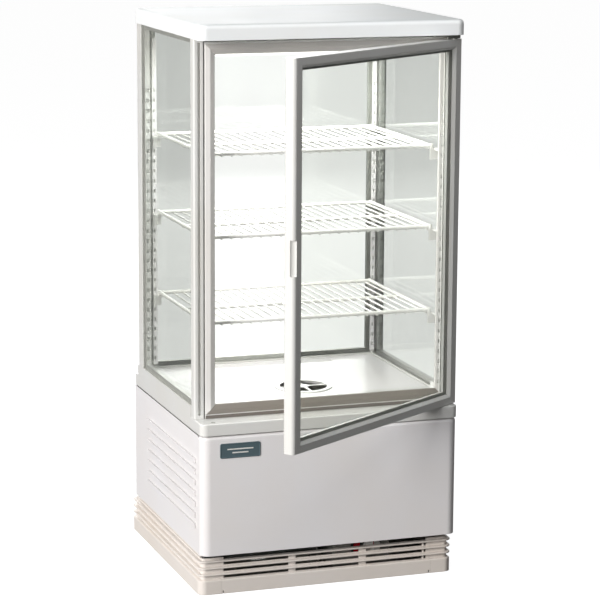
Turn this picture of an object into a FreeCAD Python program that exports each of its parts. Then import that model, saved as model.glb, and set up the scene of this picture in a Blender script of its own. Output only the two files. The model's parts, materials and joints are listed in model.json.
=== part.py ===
"""Countertop glass door merchandiser: a four-sided glass refrigerator with one hinged door.

Millimetres, +Z up. The origin is the centre of the underside, the door is on the -Y side
and is hinged at the right (+X). The door parts are built closed, about their hinge axis,
and are then swung open by door_rest_angle.
"""
import FreeCAD, Part
import math
import os

import Sketcher
from FreeCAD import Placement, Rotation, Vector

doc = FreeCAD.newDocument("glass_door_merchandiser")
sheet = doc.addObject("Spreadsheet::Sheet", "Sizes")

# ---------------------------------------------------------------- driving dimensions

SIZES = {
    # overall
    "width": 428,
    "height": 885,
    "half_depth": 199,
    # moulded base, set back under the cabinet
    "base_shift": 16.4,
    "base_half": 211,
    "base_corner": 12,
    "band_top": 22.5,
    "fin_pitch": 10.7,
    "fin_reach": 5,
    "wall": 3,
    "grille_half": 175,
    "slot_gap": 5.6,
    # lower steel cabinet
    "side_face": 212,
    "front_face": -197,
    "back_face": 187,
    "cabinet_bottom": 66.5,
    "cabinet_top": 257.5,
    "sheet_steel": 1,
    "panel_corner": 15,
    "louvre_front": -167,
    "louvre_back": 107,
    "louvre_pitch": 17.4,
    "louvre_count": 7,
    # sill, posts and opening frame
    "sill_top": 276.3,
    "rail_top": 294,
    "post_front": -160,
    "post_inner": 194.5,
    "post_inner_hinge": 202,
    "frame_front": -160,
    "frame_back": -140,
    "opening_left": 179,
    "opening_right": 187,
    "opening_bottom": 298,
    "opening_top": 838,
    "frame_top": 856,
    "glass_back": 161,
    "pane": 4,
    "glass_gap": 8,
    # top cover
    "cover_bottom": 861,
    "cover_back": 172,
    "cover_wall": 3,
    "cover_round": 7,
    # door, measured from its hinge axis
    "hinge_x": 203,
    "hinge_y": -176,
    "door_bottom": 277.2,
    "door_top": 853.5,
    "door_left": 417.5,
    "door_right": 12.5,
    "door_front": 8,
    "door_behind": 12,
    "stile": 16.5,
    "rail": 10,
    "bead": 5.5,
    "glass_recess": 5,
    "door_rest_angle": 34,
    "pull_bottom": 540,
    "pull_height": 53,
    "pin_radius": 3,
    "fit": 0.05,
    # shelves
    "shelf_low": 421,
    "shelf_middle": 555,
    "shelf_high": 683,
    "shelf_half": 184,
    "shelf_front": -134,
    "shelf_rear": 130.5,
    "shelf_bar": 3,
    "shelf_wire": 1.5,
    "wire_pitch": 16,
    "wire_count": 23,
    "slot_pitch": 16.4,
    "slot_count": 28,
    # cooling system
    "deck": 292,
    "tub_bottom": 160,
    "fan_radius": 55,
    "blade_count": 5,
    # controls, measured from the front of their box
    "control_front": -159.5,
    "knob_x": 81,
    "knob_z": 49,
    "knob_radius": 14,
    "switch_x": 56,
}


class Size:
    """A length that knows both its value and the spreadsheet formula behind it."""

    def __init__(self, value, text):
        self.value = float(value)
        self.text = text

    def __add__(self, other):
        other = size(other)
        return Size(self.value + other.value, "(%s + %s)" % (self.text, other.text))

    def __sub__(self, other):
        other = size(other)
        return Size(self.value - other.value, "(%s - %s)" % (self.text, other.text))

    def __mul__(self, other):
        other = size(other)
        return Size(self.value * other.value, "(%s * %s)" % (self.text, other.text))

    def __truediv__(self, other):
        other = size(other)
        return Size(self.value / other.value, "(%s / %s)" % (self.text, other.text))

    def __neg__(self):
        return size(0) - self

    def __radd__(self, other):
        return size(other) + self

    def __rsub__(self, other):
        return size(other) - self

    def __rmul__(self, other):
        return size(other) * self


def size(length):
    """A plain number or a Size, as a Size."""
    if isinstance(length, Size):
        return length
    return Size(length, "%.6g" % length)


def fill_sheet():
    """Write every driving dimension to the sheet and give it its alias."""
    named = {}
    for row, (name, number) in enumerate(SIZES.items(), start=1):
        sheet.set("A%d" % row, name)
        sheet.set("B%d" % row, "%g" % number)
        sheet.setAlias("B%d" % row, name)
        named[name] = Size(number, "Sizes.%s" % name)
    doc.recompute()
    return named


S = fill_sheet()
parts = {}


# ---------------------------------------------------------------- building blocks

def bind(thing, prop, length):
    """Drive one property by the formula of a Size."""
    thing.setExpression(prop, size(length).text)


def place(thing, x, y, z, turn=None):
    """Put a feature at a point given by formulas, turned by a fixed rotation."""
    at = Vector(size(x).value, size(y).value, size(z).value)
    thing.Placement = Placement(at, turn or Rotation())
    bind(thing, "Placement.Base.x", x)
    bind(thing, "Placement.Base.y", y)
    bind(thing, "Placement.Base.z", z)


def new_body(label, many=False):
    """A PartDesign body for one sub-part; many allows a set of separate solids."""
    body = doc.addObject("PartDesign::Body", label)
    body.Label = label
    body.AllowCompound = many
    parts[label] = body
    return body


def box(body, kind, x, y, z):
    """A box feature between the given low and high formulas on each axis."""
    feature = body.newObject("PartDesign::" + kind, "Block")
    for prop, (low, high) in (("Length", x), ("Width", y), ("Height", z)):
        span = size(high) - size(low)
        setattr(feature, prop, span.value)
        bind(feature, prop, span)
    place(feature, x[0], y[0], z[0])
    return feature


def add_box(body, x, y, z):
    return box(body, "AdditiveBox", x, y, z)


def cut_box(body, x, y, z):
    return box(body, "SubtractiveBox", x, y, z)


AXIS_TURN = {
    "x": Rotation(Vector(0, 1, 0), 90),
    "y": Rotation(Vector(1, 0, 0), -90),
    "z": Rotation(),
}


def rod(body, kind, radius, length, at, along):
    """A cylinder feature that starts at a point and runs along +x, +y or +z."""
    feature = body.newObject("PartDesign::" + kind, "Rod")
    feature.Radius = size(radius).value
    feature.Height = size(length).value
    bind(feature, "Radius", radius)
    bind(feature, "Height", length)
    place(feature, at[0], at[1], at[2], AXIS_TURN[along])
    return feature


def add_rod(body, radius, length, at, along="z"):
    return rod(body, "AdditiveCylinder", radius, length, at, along)


def cut_rod(body, radius, length, at, along="z"):
    return rod(body, "SubtractiveCylinder", radius, length, at, along)


def origin_part(body, role):
    """The body's own plane or axis with this role, such as XY_Plane."""
    return [item for item in body.Origin.OriginFeatures if item.Role == role][0]


def repeat(body, features, role, count, pitch):
    """Repeat features along an axis of the body, at one pitch."""
    pattern = body.newObject("PartDesign::LinearPattern", "Repeat")
    pattern.Originals = features
    pattern.Direction = (origin_part(body, role), [""])
    bind(pattern, "Length", (size(count) - 1) * pitch)
    bind(pattern, "Occurrences", count)
    body.Tip = pattern
    return pattern


def repeat_round(body, features, role, count):
    """Repeat features round an axis of the body."""
    pattern = body.newObject("PartDesign::PolarPattern", "RepeatRound")
    pattern.Originals = features
    pattern.Axis = (origin_part(body, role), [""])
    pattern.Angle = 360
    bind(pattern, "Occurrences", count)
    body.Tip = pattern
    return pattern


def dress(body, kind, prop, amount, chosen):
    """Fillet or chamfer the edges of the body so far that chosen(edge) picks."""
    doc.recompute()
    before = body.Tip
    names = ["Edge%d" % number for number, edge in enumerate(before.Shape.Edges, start=1) if chosen(edge)]
    feature = body.newObject("PartDesign::" + kind, kind)
    feature.Base = (before, names)
    bind(feature, prop, amount)
    return feature


def round_edges(body, radius, chosen):
    return dress(body, "Fillet", "Radius", radius, chosen)


def bevel_edges(body, amount, chosen):
    return dress(body, "Chamfer", "Size", amount, chosen)


def runs_along(edge, axis):
    """True for a straight edge parallel to x, y or z."""
    if edge.Curve.TypeId != "Part::GeomLine":
        return False
    ends = edge.Vertexes[1].Point - edge.Vertexes[0].Point
    return abs(abs(ends.dot(axis)) - ends.Length) < 1e-6


def upright(edge):
    return runs_along(edge, Vector(0, 0, 1))


def near(value, target):
    return abs(value - size(target).value) < 0.01


def outline(body, role, points):
    """A closed sketch of straight lines through points whose two places are both driven."""
    sketch = body.newObject("Sketcher::SketchObject", "Outline")
    sketch.AttachmentSupport = [(origin_part(body, role), "")]
    sketch.MapMode = "FlatFace"
    spots = [Vector(size(across).value, size(up).value, 0) for across, up in points]
    count = len(spots)
    for index in range(count):
        sketch.addGeometry(Part.LineSegment(spots[index], spots[(index + 1) % count]), False)
    for index in range(count):
        sketch.addConstraint(Sketcher.Constraint("Coincident", index, 2, (index + 1) % count, 1))
    for index, (across, up) in enumerate(points):
        for way, length in (("DistanceX", across), ("DistanceY", up)):
            place_id = sketch.addConstraint(
                Sketcher.Constraint(way, -1, 1, index, 1, size(length).value))
            sketch.setExpression("Constraints[%d]" % place_id, size(length).text)
    return sketch


def pad(body, sketch, length, both_ways=False):
    """Pad a sketch off its plane, or both ways from it."""
    feature = body.newObject("PartDesign::Pad", "Pad")
    feature.Profile = sketch
    bind(feature, "Length", length)
    feature.Midplane = both_ways
    return feature


def turn(body, sketch, role):
    """Revolve a sketch fully round one of the body's axes."""
    feature = body.newObject("PartDesign::Revolution", "Turned")
    feature.Profile = sketch
    feature.ReferenceAxis = (origin_part(body, role), [""])
    feature.Angle = 360
    return feature


def hang_on_door(body):
    """Swing a part that was built closed, about its hinge axis, to the resting angle."""
    body.Placement = Placement(
        Vector(S["hinge_x"].value, S["hinge_y"].value, 0),
        Rotation(Vector(0, 0, 1), S["door_rest_angle"].value))
    bind(body, "Placement.Base.x", S["hinge_x"])
    bind(body, "Placement.Base.y", S["hinge_y"])
    bind(body, "Placement.Rotation.Angle", S["door_rest_angle"])


# ---------------------------------------------------------------- moulded base

def fin_profile(inner):
    """Points of the base wall's section: a flat band with three thin fins above it.

    across is the distance out from the wall's inner face, up is the height.
    """
    reach = inner + S["wall"] + S["fin_reach"]
    root = inner + S["wall"]
    points = [(inner, 0), (reach, 0), (reach, S["band_top"] - 1.5), (reach - 1.5, S["band_top"])]
    points.append((root, S["band_top"] + 0.6))
    for fin in range(3):
        low = S["band_top"] + S["fin_pitch"] * (fin + 0.65)
        points.append((root, low))
        points.append((reach - 0.4, low + 0.3))
        points.append((reach + 0.3, low + 1))
        points.append((reach + 0.3, low + 2.3))
        points.append((reach - 0.4, low + 3))
        points.append((root, low + 3.2))
    points.append((root, low + 6.6))
    points.append((inner, low + 6.6))
    return points


def base_plinth():
    body = new_body("base_plinth")
    inner = S["base_half"] - S["wall"] - S["fin_reach"]
    section = outline(body, "XZ_Plane", fin_profile(inner))
    spine = rounded_path(body, inner, S["half_depth"] - S["wall"] - S["fin_reach"], 4)
    sweep = body.newObject("PartDesign::AdditivePipe", "Skirt")
    sweep.Profile = section
    sweep.Spine = spine
    sweep.Mode = "Frenet"
    sweep.Transition = "Transformed"
    deep = S["half_depth"] - S["wall"] - S["fin_reach"]
    rear = S["back_face"] - S["base_shift"]
    add_box(body, (-inner - 1, inner + 1), (-deep - 1, deep + 1), (0, S["wall"]))
    cut_box(body, (-S["grille_half"] - 0.1, S["grille_half"] + 0.1), (-210, -deep + 0.1), (-1, 70))
    for side in (-1, 1):
        for end in (-1, 1):
            cut_rod(body, 12, 2, (S["base_half"] * side - 35 * side, S["half_depth"] * end - 35 * end, 0))
    vent = cut_box(body, (-60, 60), (60, 66), (-1, S["wall"] + 1))
    repeat(body, [vent], "Y_Axis", 6, 16)
    for side in (-1, 1):
        neck = (side * (inner - 1), side * (inner + 2))
        add_box(body, neck if side > 0 else neck[::-1], (-deep + 10, rear), (40, S["cabinet_bottom"]))
    add_box(body, (-inner + 1, inner - 1), (rear - 3, rear), (40, S["cabinet_bottom"]))
    add_box(body, (-inner - 1, inner + 1), (rear - 1, deep + 2), (52, 55))
    place(body, 0, S["base_shift"], 0)


def rounded_path(body, half_x, half_y, radius):
    """A closed path round a rectangle with rounded corners, starting on the +X side."""
    sketch = body.newObject("Sketcher::SketchObject", "Path")
    sketch.AttachmentSupport = [(origin_part(body, "XY_Plane"), "")]
    sketch.MapMode = "FlatFace"
    a, b, r = size(half_x).value, size(half_y).value, radius
    up = Vector(0, 0, 1)
    corners = [(a - r, b - r, 0), (r - a, b - r, 90), (r - a, r - b, 180), (a - r, r - b, 270)]
    stops = [Vector(a, 0, 0), Vector(a, b - r, 0), Vector(a - r, b, 0), Vector(r - a, b, 0),
             Vector(-a, b - r, 0), Vector(-a, r - b, 0), Vector(r - a, -b, 0), Vector(a - r, -b, 0),
             Vector(a, r - b, 0), Vector(a, 0, 0)]
    for index in range(9):
        if index % 2 == 0:
            sketch.addGeometry(Part.LineSegment(stops[index], stops[index + 1]), False)
        else:
            x, y, start = corners[index // 2]
            round_off = Part.Circle(Vector(x, y, 0), up, r)
            arc = Part.ArcOfCircle(round_off, math.radians(start), math.radians(start + 90))
            sketch.addGeometry(arc, False)
    for index in range(0, 9, 2):
        sketch.addConstraint(Sketcher.Constraint("Vertical" if index % 4 == 0 else "Horizontal", index))
    for index in range(1, 9, 2):
        sketch.addConstraint(Sketcher.Constraint("Tangent", index - 1, 2, index, 1))
        sketch.addConstraint(Sketcher.Constraint("Tangent", index, 2, index + 1, 1))
        sketch.addConstraint(Sketcher.Constraint("Radius", index, r))
    sketch.addConstraint(Sketcher.Constraint("Coincident", 8, 2, 0, 1))
    sketch.addConstraint(Sketcher.Constraint("PointOnObject", 0, 1, -1))
    for way, point, length in (("DistanceX", (0, 1), half_x), ("DistanceX", (4, 1), -half_x),
                               ("DistanceY", (2, 1), half_y), ("DistanceY", (6, 1), -half_y)):
        number = sketch.addConstraint(
            Sketcher.Constraint(way, -1, 1, point[0], point[1], size(length).value))
        sketch.setExpression("Constraints[%d]" % number, size(length).text)
    return sketch


def front_grille():
    """The clip-off front of the base: the same fins, slotted for the condenser's air."""
    body = new_body("front_grille")
    inner = S["half_depth"] - S["wall"] - S["fin_reach"]
    section = outline(body, "YZ_Plane", [(-across, up) for across, up in fin_profile(inner)])
    pad(body, section, S["grille_half"] * 2, both_ways=True)
    for row in range(3):
        low = S["band_top"] + S["fin_pitch"] * row + 1.1
        for left, right in ((-170.5, -63), (-52, 54.5), (66, 162.5), (165, 169)):
            cut_box(body, (left, right), (-210, -inner + 1), (low, low + S["slot_gap"]))
    top = S["band_top"] + S["fin_pitch"] * 2.65 + 3.3
    cut_box(body, (-170.5, 169), (-210, -inner + 1), (top, top + 10))
    for side in (-1, 1):
        cut_box(body, (side * 172 - 1, side * 172 + 1), (-210, -inner - 5), (-1, 5))
    place(body, 0, S["base_shift"], 0)


def base_parts():
    base_plinth()
    front_grille()
    feet = new_body("rubber_feet", many=True)
    for side in (-1, 1):
        for end in (-1, 1):
            add_rod(feet, 12 - S["fit"], 2 - S["fit"],
                    (S["base_half"] * side - 35 * side, S["half_depth"] * end - 35 * end, 0))
    place(feet, 0, S["base_shift"], 0)
    pan = new_body("chassis_pan")
    add_box(pan, (-195, 195), (-140, 178), (S["wall"], S["wall"] + 1.5))
    add_box(pan, (-195, -193.5), (-140, 178), (S["wall"], 18))
    add_box(pan, (193.5, 195), (-140, 178), (S["wall"], 18))
    for x in (-152, -94, -36):
        cut_box(pan, (x - 20, x + 20), (-20, 40), (0, 10))


# ---------------------------------------------------------------- lower cabinet

def front_panel():
    """Front sheet with rounded vertical corners and short returns down both sides."""
    body = new_body("front_panel")
    face = S["side_face"]
    low, high = S["cabinet_bottom"], S["cabinet_top"] - 2
    rear = S["front_face"] + S["panel_corner"] + 2
    add_box(body, (-face, face), (S["front_face"], rear), (low, high))
    round_edges(body, S["panel_corner"],
                lambda edge: upright(edge) and near(edge.CenterOfMass.y, S["front_face"]))
    round_edges(body, 5, lambda edge: near(edge.CenterOfMass.z, high)
                and edge.CenterOfMass.y < rear.value - 0.1)
    skin = S["sheet_steel"] * 1.5
    cut_box(body, (-face + skin, face - skin),
            (S["front_face"] + S["panel_corner"], rear + 1), (low - 1, high - skin))
    cut_box(body, (-face + S["panel_corner"], face - S["panel_corner"]),
            (S["front_face"] + skin, rear + 1), (low - 1, high - skin - 3))


def side_panel(label, side):
    """A flat side sheet with seven pressed louvres; side is -1 for left and 1 for right."""
    body = new_body(label)
    skin = S["sheet_steel"]
    front = S["front_face"] + S["panel_corner"] + 2.5
    outer = side * (S["side_face"] - 0.5)
    inner = outer - side * skin
    across = (outer, inner) if side < 0 else (inner, outer)
    low = S["cabinet_bottom"]
    add_box(body, across, (front, S["back_face"]), (low, S["cabinet_top"] - 2.5))
    flange = inner - side * 10
    across = (inner, flange) if side < 0 else (flange, inner)
    add_box(body, across, (S["back_face"] - skin, S["back_face"]), (low, S["cabinet_top"] - 2.5))
    lip = inner + side * 4
    across = (lip, inner) if side < 0 else (inner, lip)
    front, back = S["louvre_front"], S["louvre_back"]
    ridge = add_box(body, across, (front, back), (105, 112))
    hood = outer + side * 0.2
    mouth = inner - side * 1
    across = (hood + side * 1.3, mouth) if side < 0 else (mouth, hood + side * 1.3)
    throat = cut_box(body, across, (front + 2, back - 2), (104, 110))
    repeat(body, [ridge, throat], "Z_Axis", S["louvre_count"], S["louvre_pitch"])


def rear_panel():
    """Rear service sheet, slotted behind the condenser and the compressor."""
    body = new_body("rear_panel")
    half = S["side_face"] - 11.6
    add_box(body, (-half, half), (S["back_face"] - 1, S["back_face"]),
            (S["cabinet_bottom"], S["cabinet_top"] - 2.5))
    slot = cut_box(body, (-120, 20), (S["back_face"] - 5, S["back_face"] + 5), (80, 84))
    other = cut_box(body, (60, 140), (S["back_face"] - 5, S["back_face"] + 5), (80, 84))
    repeat(body, [slot, other], "Z_Axis", 8, 10)
    cut_box(body, (-172, -144), (S["back_face"] - 5, S["back_face"] + 5), (84, 104))


def lower_cabinet():
    front_panel()
    side_panel("left_panel", -1)
    side_panel("right_panel", 1)
    rear_panel()
    badge = new_body("badge_plate")
    face = S["front_face"]
    add_box(badge, (-182, -117), (face - 1.2, face), (221, 244.5))
    round_edges(badge, 3, lambda edge: runs_along(edge, Vector(0, 1, 0)))
    inlet = new_body("power_inlet")
    add_box(inlet, (-171.95, -144.05), (S["back_face"] - 22, S["back_face"] + 2), (84.05, 103.95))
    add_box(inlet, (-176, -140), (S["back_face"], S["back_face"] + 2), (80, 108))
    cut_box(inlet, (-168, -148), (S["back_face"] - 16, S["back_face"] + 3), (88, 100))
    for across in (-163, -158, -153):
        add_box(inlet, (across - 1, across + 1), (S["back_face"] - 17, S["back_face"] - 3), (92, 96))


# ---------------------------------------------------------------- sill, posts, frames

def sill_frame():
    """The moulded ring on top of the steel cabinet: front ledge, side rails and rear rail."""
    body = new_body("sill_frame")
    face = S["side_face"]
    low = S["cabinet_top"]
    add_box(body, (-face, face), (S["front_face"], S["back_face"]), (low, S["sill_top"]))
    round_edges(body, 11,
                lambda edge: upright(edge) and near(edge.CenterOfMass.y, S["front_face"]))
    round_edges(body, 5, lambda edge: upright(edge) and edge.CenterOfMass.y > 0)
    add_box(body, (-face, face), (S["frame_back"] + 0.05, S["glass_back"] + 8),
            (S["sill_top"] - 1, S["rail_top"]))
    cut_box(body, (-face + 20, face - 20), (S["frame_back"], S["glass_back"] - 20), (low - 1, 300))
    add_box(body, (-face + 6, face - 6), (S["front_face"] + 6, S["back_face"] - 12), (low - 2, low + 0.5))
    cut_box(body, (-face + 20, face - 20), (S["frame_back"], S["glass_back"] - 20), (low - 3, 300))
    round_edges(body, 2, lambda edge: runs_along(edge, Vector(1, 0, 0))
                and near(edge.CenterOfMass.y, S["front_face"]) and near(edge.CenterOfMass.z, S["sill_top"]))
    hinge_x, hinge_y = S["hinge_x"], S["hinge_y"]
    cut_box(body, (hinge_x - 14, hinge_x + 5.5), (hinge_y - 7, S["post_front"] - 0.1),
            (S["sill_top"] - 2.5, S["sill_top"] + 5))
    cut_rod(body, S["pin_radius"] + 0.03, 14, (hinge_x, hinge_y, S["sill_top"] - 14))


def corner_post(label, side):
    """Front corner post with one long groove, stepped back where it meets the frame."""
    body = new_body(label)
    reach = S["post_inner"] if side < 0 else S["post_inner_hinge"]
    outer, inner = side * S["side_face"], side * (reach + 0.05)
    step = side * (reach + 2.2)
    deep = S["post_front"] + 8
    height = (S["sill_top"], S["cover_bottom"])
    across = (outer, inner) if side < 0 else (inner, outer)
    add_box(body, across, (deep, S["frame_back"] - 4), height)
    across = (outer, step) if side < 0 else (step, outer)
    add_box(body, across, (S["post_front"], deep + 1), height)
    corner = S["post_front"]
    round_edges(body, 3, lambda edge: upright(edge) and near(edge.CenterOfMass.y, corner)
                and near(edge.CenterOfMass.x, outer))
    middle, half = (-203.2, 2.2) if side < 0 else (207.5, 1.4)
    cut_box(body, (middle - half, middle + half), (corner - 1, corner + 3.5), (S["sill_top"] + 6, 855))


def front_frame():
    """The ring round the opening that the door's seal closes on, thin beside the hinge."""
    body = new_body("front_frame")
    left, right = -S["opening_left"], S["opening_right"]
    face, back = S["frame_front"], S["frame_back"]
    add_box(body, (-S["post_inner"], S["post_inner_hinge"]), (face, back), (S["sill_top"], S["frame_top"]))
    cut_box(body, (left, right), (-170, -100), (S["opening_bottom"], S["opening_top"]))
    round_edges(body, 4, lambda edge: runs_along(edge, Vector(0, 1, 0))
                and (near(edge.CenterOfMass.x, left) or near(edge.CenterOfMass.x, right)))
    rebate = (S["opening_bottom"] + 8, S["opening_top"] - 8)
    cut_box(body, (right - 1, S["post_inner"]), (face + 4, back + 1), rebate)
    cut_box(body, (S["post_inner"], 210), (back - 4.05, back + 1), (S["sill_top"] - 1, S["frame_top"] + 1))
    slot = cut_box(body, (190, 192.6), (face - 1, face + 5), (306, 313))
    repeat(body, [slot], "Z_Axis", S["slot_count"], S["slot_pitch"])


def rear_post(body, side):
    """Rear corner post with two shallow flutes on its outer face."""
    outer, inner = side * S["side_face"], side * (S["side_face"] - 20)
    across = (outer, inner) if side < 0 else (inner, outer)
    back = S["glass_back"] + 3
    add_box(body, across, (back - 26, back), (S["rail_top"], S["cover_bottom"]))
    round_edges(body, 4, lambda edge: upright(edge) and near(edge.CenterOfMass.y, back)
                and near(edge.CenterOfMass.x, outer))
    reach = outer - side * 1.5
    wide = (outer - 1, reach) if side < 0 else (reach, outer + 1)
    for y in (back - 8, back - 20):
        cut_box(body, wide, (y - 1.25, y + 1.25), (S["rail_top"] + 2, S["cover_bottom"] - 2))


def rear_posts():
    body = new_body("rear_posts", many=True)
    for side in (-1, 1):
        rear_post(body, side)


def pane_pair(outer, inner, spacer, x, y, z, thin, outside):
    """Two panes with a spacer bar; thin is the axis they face, outside its outward sign."""
    start = size(x[0] if thin == "x" else y[0])
    bar_start = start + S["pane"]
    second = bar_start + S["glass_gap"]
    layers = [(start, bar_start), (second, second + S["pane"])]
    if outside > 0:
        layers.reverse()
    for body, depth in ((outer, layers[0]), (inner, layers[1])):
        add_box(body, depth if thin == "x" else x, depth if thin == "y" else y, z)
    inset = 7
    along = y if thin == "x" else x
    for low, high in (((along[0], along[0] + inset), z), ((along[1] - inset, along[1]), z),
                      (along, (z[0], z[0] + inset)), (along, (z[1] - inset, z[1]))):
        depth = (bar_start, second)
        add_box(spacer, depth if thin == "x" else low, depth if thin == "y" else low, high)
    return bar_start, second


def glazing():
    """Sealed double panes in the two sides and the back."""
    thick = S["pane"] * 2 + S["glass_gap"]
    face = S["side_face"] - 1
    z = (S["rail_top"], S["cover_bottom"] - 1)
    y = (S["frame_back"] - 4, S["glass_back"] - 23)
    side_outer = new_body("side_outer_glass", many=True)
    side_inner = new_body("side_inner_glass", many=True)
    spacers = new_body("glass_spacers", many=True)
    slots = []
    for side, across in ((-1, (-face, -face + thick)), (1, (face - thick, face))):
        left, right = pane_pair(side_outer, side_inner, spacers, across, y, z, "x", side)
        slots.append(cut_box(spacers, (left + 1, right - 1), (y[1] - 8, y[1] - 4), (308, 314)))
    repeat(spacers, slots, "Z_Axis", S["slot_count"], S["slot_pitch"])
    half = S["side_face"] - 20
    rear = new_body("rear_glass", many=True)
    back = (S["glass_back"] - thick, S["glass_back"])
    pane_pair(rear, rear, spacers, (-half, half), back, z, "y", 1)


# ---------------------------------------------------------------- top

def top_parts():
    cover = new_body("top_cover")
    half = S["width"] / 2
    low = S["cover_bottom"]
    add_box(cover, (-half, half), (S["front_face"], S["cover_back"]), (low, S["height"]))
    round_edges(cover, 13, upright)
    round_edges(cover, S["cover_round"], lambda edge: near(edge.CenterOfMass.z, S["height"]))
    wall = S["cover_wall"]
    cut_box(cover, (-half + 6, half - 6), (S["front_face"] + 6, S["cover_back"] - 6),
            (low - 1, S["height"] - 8))
    ceiling = new_body("ceiling_panel")
    inside = S["side_face"] - 20.1
    add_box(ceiling, (-inside, inside), (S["frame_back"] + 0.05, S["glass_back"] - 17),
            (S["frame_top"] - 6, S["frame_top"] - 2))
    foam = new_body("top_insulation")
    add_box(foam, (-inside, inside), (S["frame_back"] + 0.05, S["glass_back"] - 17),
            (S["frame_top"] - 2, S["height"] - 9))
    tube = new_body("lamp_tube")
    add_rod(tube, 4, 300, (-150, -112, 841), "x")
    screen = new_body("lamp_cover")
    add_box(screen, (-165, 165), (-124, -100), (831, S["frame_top"] - 6))
    cut_box(screen, (-163.5, 163.5), (-122.5, -101.5), (832.5, S["frame_top"] + 1))
    for span in ((-164, -150), (150, 164)):
        add_box(screen, span, (-119, -105), (832, S["frame_top"] - 6))


def upper_bracket(bracket):
    x, y = S["hinge_x"], S["hinge_y"]
    add_box(bracket, (x - 35, x - 12.5), (y - 8, S["frame_front"] + 8), (S["frame_top"] + 1.9, S["frame_top"] + 4.4))
    add_box(bracket, (x - 14, x + 7), (y - 8, S["post_front"] - 0.1), (S["door_top"] + 1.6, S["frame_top"] + 4.4))
    add_box(bracket, (x - 35, x - 12.5), (S["frame_front"] + 0.1, S["frame_front"] + 8),
            (S["frame_top"], S["frame_top"] + 2.5))
    cut_rod(bracket, S["pin_radius"] + 0.03, 14, (x, y, S["door_top"]))


# ---------------------------------------------------------------- door

def door_frame():
    """Full-width rails with the stiles between them, rebated at the front for glass and bead."""
    front, behind = -S["door_front"], S["door_behind"]
    left, right = -S["door_left"], S["door_right"]
    low, high = S["door_bottom"], S["door_top"]
    stile, rail, bead = S["stile"], S["rail"], S["bead"]
    pane_front = front + S["glass_recess"]
    pane_back = pane_front + S["pane"] * 2 + 5
    flange = (pane_back + 0.05, behind)
    between = (low + rail, high - rail)
    clear = (low + rail + bead, high - rail - bead)

    hinge = new_body("door_hinge_stile")
    add_box(hinge, (right - stile, right), (front, behind), between)
    round_edges(hinge, 6, lambda edge: upright(edge) and near(edge.CenterOfMass.x, right))
    add_box(hinge, (right - stile - bead, right - stile + 1), flange, clear)
    pull = new_body("door_handle_stile")
    add_box(pull, (left, left + stile), (front, behind), between)
    round_edges(pull, 6, lambda edge: upright(edge) and near(edge.CenterOfMass.x, left))
    add_box(pull, (left + stile - 1, left + stile + bead), flange, clear)
    cut_rod(pull, 8, S["pull_height"], (left - 1.5, front - 0.5, S["pull_bottom"]))

    for label, bottom in (("door_bottom_rail", low), ("door_top_rail", high - rail)):
        piece = new_body(label)
        add_box(piece, (left, right), (front, behind), (bottom, bottom + rail))
        round_edges(piece, 6, upright)
        lip = (rail - 1, rail + bead) if label == "door_bottom_rail" else (-bead, size(1))
        add_box(piece, (left + stile, right - stile), flange, (bottom + lip[0], bottom + lip[1]))
        pocket = low - 1 if label == "door_bottom_rail" else high - 8.5
        cut_rod(piece, 5, 9.5, (0, 0, pocket))
        hang_on_door(piece)

    glass_x = (left + stile + 0.3, right - stile - 0.3)
    glass_z = (low + rail + 0.3, high - rail - 0.3)
    outer = new_body("door_outer_glass")
    add_box(outer, glass_x, (pane_front, pane_front + S["pane"]), glass_z)
    inner = new_body("door_inner_glass")
    add_box(inner, glass_x, (pane_back - S["pane"], pane_back), glass_z)
    spacer = new_body("door_spacer")
    add_box(spacer, glass_x, (pane_front + S["pane"], pane_back - S["pane"]), glass_z)
    cut_box(spacer, (glass_x[0] + 9, glass_x[1] - 9), (pane_front, pane_back), (glass_z[0] + 9, glass_z[1] - 9))
    for piece in (hinge, pull, outer, inner, spacer):
        hang_on_door(piece)


def door_bead():
    """Bevelled bead that holds the door's glass in its rebate."""
    front = -S["door_front"]
    across = (-S["door_left"] + S["stile"], S["door_right"] - S["stile"])
    height = (S["door_bottom"] + S["rail"], S["door_top"] - S["rail"])
    bead = S["bead"]
    body = new_body("door_glazing_bead")
    add_box(body, across, (front, front + S["glass_recess"] - 0.05), height)
    hole = (across[0] + bead, across[1] - bead)
    cut_box(body, hole, (front - 1, front + 20), (height[0] + bead, height[1] - bead))

    def inner_front(edge):
        middle = edge.CenterOfMass
        return (near(middle.y, front) and across[0].value + 2 < middle.x < across[1].value - 2
                and height[0].value + 2 < middle.z < height[1].value - 2)
    bevel_edges(body, 4.4, inner_front)
    hang_on_door(body)


def door_seal():
    """Magnetic gasket on the back of the door, a closed ring."""
    body = new_body("door_gasket")
    left, right = -S["door_left"] + 12, S["door_right"] - 12
    low, high = S["door_bottom"] + 4, S["door_top"] - 4
    depth = (S["door_behind"], S["post_front"] - S["hinge_y"] - 1)
    width = 8
    add_box(body, (left, right), depth, (low, high))
    cut_box(body, (left + width, right - width), (0, 50), (low + width, high - width))
    deep = depth[1]
    round_edges(body, 1.2, lambda edge: near(edge.CenterOfMass.y, deep) and edge.Length > 40)
    hang_on_door(body)


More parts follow.
